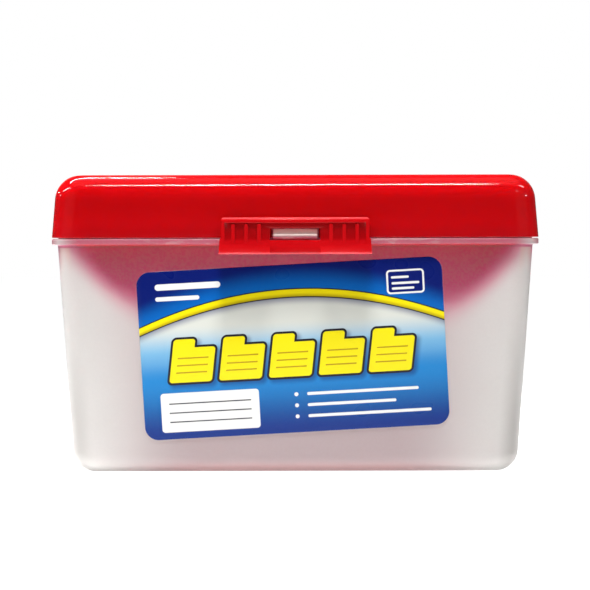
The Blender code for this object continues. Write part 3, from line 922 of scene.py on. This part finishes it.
PRINT_EDGE = 0.08
NAVY = (0.003, 0.011, 0.15)
AZURE = (0.002, 0.13, 0.50)
PALE = (0.72, 0.74, 0.68)
LIGHT_BLUE = (0.22, 0.50, 0.74)
MID_BLUE = (0.010, 0.23, 0.60)
DEEP_BLUE = (0.003, 0.030, 0.23)
INK_BLACK = (0.012, 0.012, 0.020)
YELLOW = (0.93, 0.80, 0.004)
YELLOW_SHADE = (0.55, 0.42, 0.004)
YELLOW_RULE = (0.50, 0.33, 0.004)
PAPER = (0.88, 0.88, 0.86)
MID_BLUE_FADE = (-25.0, -7.0)
LIGHT_BLUE_FADE = (-8.0, 3.0)
PALE_FADE = (0.0, 9.0)
ARCH_PEAK = 17.0
ARCH_DROP = 9.5
ARCH_BAND = 2.2
ARCH_OUTLINE = 0.35
ARCH_SHADOW_FADE = (-4.0, -0.5)
ARCH_SHADOW_MOST = 0.75
ARCH_EDGE_FADE = (-0.1, 0.1)
NAVY_FADE = (1.5, 9.0)
BAND_FADE = (-1.1, 0.2)
CARD_PITCH = 15.2
CARD_COUNT = 5
CARD_SLANT = 0.16
CARD_BODY = ((0.0, -3.2), (13.0, 10.6), 0.9)
CARD_TAB = ((-3.2, 2.3), (6.6, 4.8), 0.9)
CARD_RULING = ((0.0, -3.6), (9.4, 7.4), 0.3)
CARD_OUTLINE = 0.7
CARD_SHADOW_SHIFT = 0.9
CARD_SHADOW_FADE = (1.8, -0.4)
CARD_SHADOW_MOST = 0.6
RULE_PITCH = 2.2
RULE_FADE = (0.28, 0.16)
HEADING_BARS = (((-31.0, 20.9), (20.0, 1.9), 0.95), ((-34.3, 17.3), (13.4, 1.3), 0.65))
BADGE = ((35.2, 18.6), (11.5, 7.4), 1.2)
BADGE_FRAME = 0.55
BADGE_LINES = (((33.6, 20.0), (5.4, 0.7), 0.3), ((35.2, 18.2), (8.4, 0.7), 0.3),
               ((34.4, 16.6), (6.8, 0.7), 0.3))
PANEL = ((-26.2, -17.6), (30.0, 12.0), 1.0)
PANEL_LINES = (((-26.2, -14.9), (25.0, 0.35), 0.1), ((-26.2, -17.7), (25.0, 0.35), 0.1),
               ((-26.2, -20.5), (25.0, 0.35), 0.1))
NOTE_LINES = (((20.5, -14.0), (34.0, 0.9), 0.4), ((17.0, -17.4), (27.0, 0.9), 0.4),
              ((22.3, -20.8), (37.6, 0.9), 0.4), ((0.2, -14.0), (1.2, 1.2), 0.6),
              ((0.2, -17.4), (1.2, 1.2), 0.6), ((0.2, -20.8), (1.2, 1.2), 0.6))

# The label's paper, in metres

PRINT_DEPTH = (-0.285 * MM, -0.26 * MM)
FIBRES = (0.8 * MM, 3.0)
FIBRE_MOST = 0.002
RIPPLE = (16 * MM, 1.0)
RIPPLE_BAND = (0.1, 0.9)
RIPPLE_DEPTH = 0.15 * MM
RIPPLE_STRENGTH = 0.4
LABEL_ROUGHNESS = (0.27, 0.29)
LABEL_SPECULAR = 0.2


def outside(m, u, v, shape):
    """Distance outside a rounded rectangle of the given centre, size and corner radius."""
    centre, size, corner = shape
    across = m.math("ABSOLUTE", m.math("SUBTRACT", u, centre[0]))
    across = m.math("MAXIMUM", m.math("SUBTRACT", across, size[0] / 2 - corner), 0.0)
    along = m.math("ABSOLUTE", m.math("SUBTRACT", v, centre[1]))
    along = m.math("MAXIMUM", m.math("SUBTRACT", along, size[1] / 2 - corner), 0.0)
    square = m.math("ADD", m.math("MULTIPLY", across, across), m.math("MULTIPLY", along, along))
    return m.math("SUBTRACT", m.math("SQRT", square), corner)


def ink(m, distance, grow=0.0):
    """1 within a shape grown by a distance, and 0 outside it."""
    return m.ramp(distance, grow + PRINT_EDGE, grow - PRINT_EDGE)


def union(m, distances):
    """The nearest of several shapes."""
    nearest = distances[0]
    for distance in distances[1:]:
        nearest = m.math("MINIMUM", nearest, distance)
    return nearest


def card_shape(m, u, v):
    """Distances outside the nearest of a row of slanted, tabbed cards, and outside its ruled part."""
    leaning = m.math("SUBTRACT", u, m.math("MULTIPLY", v, CARD_SLANT))
    number = m.math("ROUND", m.math("DIVIDE", leaning, CARD_PITCH))
    last = (CARD_COUNT - 1) / 2
    number = m.math("MAXIMUM", m.math("MINIMUM", number, last), -last)
    within = m.math("SUBTRACT", leaning, m.math("MULTIPLY", number, CARD_PITCH))
    card = union(m, [outside(m, within, v, CARD_BODY), outside(m, within, v, CARD_TAB)])
    return card, outside(m, within, v, CARD_RULING)


def print_ground(m, v):
    """Blues that pale upwards to the arch."""
    paint = m.mix(m.ramp(v, *MID_BLUE_FADE), DEEP_BLUE, MID_BLUE)
    paint = m.mix(m.ramp(v, *LIGHT_BLUE_FADE), paint, LIGHT_BLUE)
    return m.mix(m.ramp(v, *PALE_FADE), paint, PALE)


def print_arch(m, u, v, paint):
    """A yellow, outlined arch with its shadow below it and a sky of azure and navy over it."""
    share = m.math("DIVIDE", u, LABEL_WIDTH / MM / 2)
    drop = m.math("MULTIPLY", m.math("MULTIPLY", share, share), ARCH_DROP)
    over_arch = m.math("SUBTRACT", v, m.math("SUBTRACT", ARCH_PEAK, drop))
    paint = m.mix(m.ramp(over_arch, *ARCH_SHADOW_FADE, 0.0, ARCH_SHADOW_MOST), paint, NAVY)
    sky = m.mix(m.ramp(over_arch, *NAVY_FADE), AZURE, NAVY)
    paint = m.mix(m.ramp(over_arch, *ARCH_EDGE_FADE), paint, sky)
    from_band = m.math("SUBTRACT", m.math("ABSOLUTE", over_arch), ARCH_BAND / 2)
    paint = m.mix(ink(m, from_band, ARCH_OUTLINE), paint, INK_BLACK)
    return m.mix(ink(m, from_band), paint, m.mix(m.ramp(over_arch, *BAND_FADE), YELLOW_SHADE, YELLOW))


def print_cards(m, u, v, paint):
    """A row of yellow, ruled, tabbed cards with outlines and shadows."""
    shifted_u = m.math("SUBTRACT", u, CARD_SHADOW_SHIFT)
    shifted_v = m.math("ADD", v, CARD_SHADOW_SHIFT)
    shadow = card_shape(m, shifted_u, shifted_v)[0]
    card, ruling = card_shape(m, u, v)
    paint = m.mix(m.ramp(shadow, *CARD_SHADOW_FADE, 0.0, CARD_SHADOW_MOST), paint, NAVY)
    paint = m.mix(ink(m, card, CARD_OUTLINE), paint, INK_BLACK)
    paint = m.mix(ink(m, card), paint, YELLOW)
    lines = m.math("SUBTRACT", m.math("FLOORED_MODULO", v, RULE_PITCH), RULE_PITCH / 2)
    ruled = m.math("MULTIPLY", ink(m, ruling), m.ramp(m.math("ABSOLUTE", lines), *RULE_FADE))
    return m.mix(ruled, paint, YELLOW_RULE)


def print_bars(m, u, v, paint):
    """White bars, a framed badge and a ruled panel."""
    badge = outside(m, u, v, BADGE)
    paint = m.mix(ink(m, badge), paint, PAPER)
    paint = m.mix(ink(m, badge, -BADGE_FRAME), paint, NAVY)
    bars = [outside(m, u, v, shape) for shape in (*HEADING_BARS, *BADGE_LINES, *NOTE_LINES, PANEL)]
    paint = m.mix(ink(m, union(m, bars)), paint, PAPER)
    rules = [outside(m, u, v, shape) for shape in PANEL_LINES]
    return m.mix(ink(m, union(m, rules)), paint, INK_BLACK)


def label_print():
    """Coated paper with a print of its own: blues, a yellow arch, a row of yellow cards, white bars."""
    m = Nodes("printed label")
    x, y, z = m.axes()
    u = m.math("MULTIPLY", x, 1 / MM)
    v = m.math("MULTIPLY", z, 1 / MM)
    paint = print_arch(m, u, v, print_ground(m, v))
    paint = print_bars(m, u, v, print_cards(m, u, v, paint))
    paint = m.mix(m.ramp(y, *PRINT_DEPTH), paint, PAPER)
    paint = m.mix(m.ramp(m.noise(*FIBRES), *NOISE_BAND, 0.0, FIBRE_MOST), paint, PAPER)
    ripple = m.noise(*RIPPLE)
    m.set(
        Base_Color=paint,
        Roughness=m.ramp(ripple, *RIPPLE_BAND, *LABEL_ROUGHNESS),
        Specular_IOR_Level=LABEL_SPECULAR,
        Normal=m.bump(ripple, RIPPLE_DEPTH, RIPPLE_STRENGTH),
    )
    return m.material


# Camera

CAMERA_DISTANCE = 900.0 * MM
CAMERA_HEIGHT = 72.4 * MM
CAMERA_SIDE = -0.1 * MM
CAMERA_PITCH = math.radians(1.147)
CAMERA_ROLL = math.radians(-0.139)
CLIP_START = 0.05
CLIP_END = 50.0
FRAME_PIXELS = 590
FOCAL_PIXELS = 2970.1
SENSOR = 36.0

# Floor and backdrop: strengths, and distances from the middle of the foot

WHITE = (1.0, 1.0, 1.0, 1.0)
FLOOR_SIZE = 8.0
FLOOR_THICKNESS = 0.02
FLOOR_DROP = 0.2 * MM
# painted pool of light: the floor's colour is pale near the foot and near black further out
FLOOR_GREY = (0.85, 0.85, 0.85)
FLOOR_UNLIT_GREY = (0.02, 0.02, 0.02)
FLOOR_ROUGHNESS = 0.6
FLOOR_SPECULAR = 0.1
FLOOR_SEEN = 1.0
LIGHT_POOL = (0.2, 0.6)
GLOW = (0.075, 0.10)
GLOW_STRENGTH = 0.5
ROOM_LIGHT = 0.05
BACKDROP_SEEN = 1.0

# Lights: name, place, the way its length runs, length, width, watts, and whether gloss mirrors it.
# Narrow lights draw the lines on the lid, and a wash at the same place lights the box.

LIGHT_AIM = (0.0, CENTRE_Y, 0.06)
LIGHTS = (
    ("overhead", (0.0, -0.36, 1.05), (1.0, 0.27, 0.0), 0.3, 0.06, 2.4, True),
    ("overhead wash", (0.0, -0.36, 1.05), (1.0, 0.27, 0.0), 0.3, 0.2, 10.8, False),
    ("rear", (-0.36, 0.42, 0.93), (-0.54, -0.27, -0.09), 0.62, 0.06, 4.5, True),
    ("rear wash", (-0.36, 0.42, 0.93), (-0.54, -0.27, -0.09), 0.62, 0.2, 7.5, False),
    ("left", (-1.0, -0.02, 0.85), (0.27, -0.38, 0.33), 0.57, 0.05, 3.0, True),
    ("left wash", (-1.0, -0.02, 0.85), (0.27, -0.38, 0.33), 0.57, 0.2, 3.8, False),
    ("right", (0.88, 0.0, 0.97), (0.35, 0.35, -0.3), 0.4, 0.05, 0.9, True),
    ("right wash", (0.88, 0.0, 0.97), (0.35, 0.35, -0.3), 0.4, 0.2, 0.8, False),
    ("top", (0.0, 0.1, 1.5), (1.0, 0.0, 0.0), 2.0, 1.2, 2.0, True),
    ("back", (0.0, 1.3, 0.35), (1.0, 0.0, 0.0), 1.2, 0.4, 1.4, True),
    ("fill left", (-1.0, -0.7, 0.35), (1.0, -1.4, 0.0), 1.0, 1.0, 0.3, True),
    ("fill right", (1.0, -0.7, 0.35), (1.0, 1.4, 0.0), 1.0, 1.0, 0.3, True),
    ("spot left", (-1.114, 0.299, 0.39), (0.27, -0.38, 0.33), 0.06, 0.02, 0.3, True),
    ("spot rear", (-0.94, 0.658, 0.41), (0.27, -0.38, 0.33), 0.06, 0.02, 0.3, True),
    ("spot right", (1.153, -0.121, 0.37), (0.35, 0.35, -0.3), 0.06, 0.02, 0.3, True),
    ("lamp", (1.1, -0.9, 1.05), (1.0, 1.0, 0.0), 0.10, 0.04, 0.3, True),
)


def make_camera():
    """A long lens straight in front of the box, level with its rim."""
    data = bpy.data.cameras.new("camera")
    data.sensor_width = SENSOR
    data.lens = FOCAL_PIXELS * SENSOR / FRAME_PIXELS
    data.clip_start = CLIP_START
    data.clip_end = CLIP_END
    camera = bpy.data.objects.new("camera", data)
    bpy.context.scene.collection.objects.link(camera)
    upright = Matrix.Rotation(math.pi / 2 - CAMERA_PITCH, 4, "X")
    roll = Matrix.Rotation(CAMERA_ROLL, 4, "Z")
    place = Matrix.Translation((CAMERA_SIDE, FRONT - CAMERA_DISTANCE, CAMERA_HEIGHT))
    camera.matrix_world = place @ upright @ roll
    bpy.context.scene.camera = camera


def softbox(name, place, along, length, width, power, mirrored):
    """A rectangular soft light that is turned to the box."""
    data = bpy.data.lights.new(name, "AREA")
    data.shape = "RECTANGLE"
    data.size = length
    data.size_y = width
    data.energy = power
    light = bpy.data.objects.new(name, data)
    bpy.context.scene.collection.objects.link(light)
    light.visible_glossy = mirrored
    backward = (Vector(place) - Vector(LIGHT_AIM)).normalized()
    upward = backward.cross(Vector(along)).normalized()
    sideways = upward.cross(backward)
    turn = Matrix((sideways, upward, backward)).transposed().to_4x4()
    light.matrix_world = Matrix.Translation(place) @ turn


def seen_by_camera(tree, seen, otherwise, output):
    """Show one shader to the camera and let another light the object."""
    path = tree.nodes.new("ShaderNodeLightPath")
    mix = tree.nodes.new("ShaderNodeMixShader")
    tree.links.new(path.outputs["Is Camera Ray"], mix.inputs["Fac"])
    tree.links.new(otherwise.outputs[0], mix.inputs[1])
    tree.links.new(seen.outputs[0], mix.inputs[2])
    tree.links.new(mix.outputs[0], output.inputs["Surface"])


def lit_floor(m, strength):
    """The floor's own surface with an even glow added to it."""
    glow = m.add("ShaderNodeEmission")
    m.feed(glow.inputs["Strength"], strength)
    both = m.add("ShaderNodeAddShader")
    m.feed(both.inputs[0], glow.outputs[0])
    m.feed(both.inputs[1], m.shader.outputs[0])
    return both


def make_floor():
    """A plain pale floor, exposed to white for the camera, that glows a little under the foot; its colour is
    a painted pool of light, pale near the foot and near black further out.
    """
    half = FLOOR_SIZE / 2
    floor = block("floor", (-half, -half, -FLOOR_THICKNESS), (half, half, -FLOOR_DROP))
    m = Nodes("floor")
    m.set(
        Base_Color=m.mix(m.ramp(m.away(), *LIGHT_POOL), FLOOR_GREY, FLOOR_UNLIT_GREY),
        Roughness=FLOOR_ROUGHNESS,
        Specular_IOR_Level=FLOOR_SPECULAR,
    )
    lifted = lit_floor(m, m.ramp(m.away(), *GLOW, GLOW_STRENGTH, 0.0))
    bright = lit_floor(m, FLOOR_SEEN)
    seen_by_camera(m.tree, bright, lifted, m.output)
    floor.data.materials.append(m.material)


def make_world():
    """A white backdrop for the camera, and a dim room for the light."""
    world = bpy.data.worlds.new("studio")
    world.use_nodes = True
    tree = world.node_tree
    tree.nodes.clear()
    output = tree.nodes.new("ShaderNodeOutputWorld")
    shades = []
    for strength in (BACKDROP_SEEN, ROOM_LIGHT):
        shade = tree.nodes.new("ShaderNodeBackground")
        shade.inputs["Color"].default_value = WHITE
        shade.inputs["Strength"].default_value = strength
        shades.append(shade)
    seen_by_camera(tree, *shades, output)
    bpy.context.scene.world = world


def main():
    scene = bpy.context.scene
    scene.view_settings.view_transform = "Standard"
    scene.view_settings.look = "None"
    make_world()
    make_floor()
    for light in LIGHTS:
        softbox(*light)
    make_camera()
    make_tray(frosted_plastic())
    lid_red = red_plastic(
        "glossy red lid", LID_REDS, lid_painted_shading, LID_ROUGHNESS, LID_SPECULAR, LID_BLEED, LID_BLEED_RADIUS
    )
    latch_red = red_plastic(
        "satin red latch", LATCH_REDS, latch_painted_shading, LATCH_ROUGHNESS, LATCH_SPECULAR, LATCH_BLEED,
        LATCH_BLEED_RADIUS,
    )
    make_lid(lid_red)
    make_latch(latch_red)
    make_label(label_print())


main()
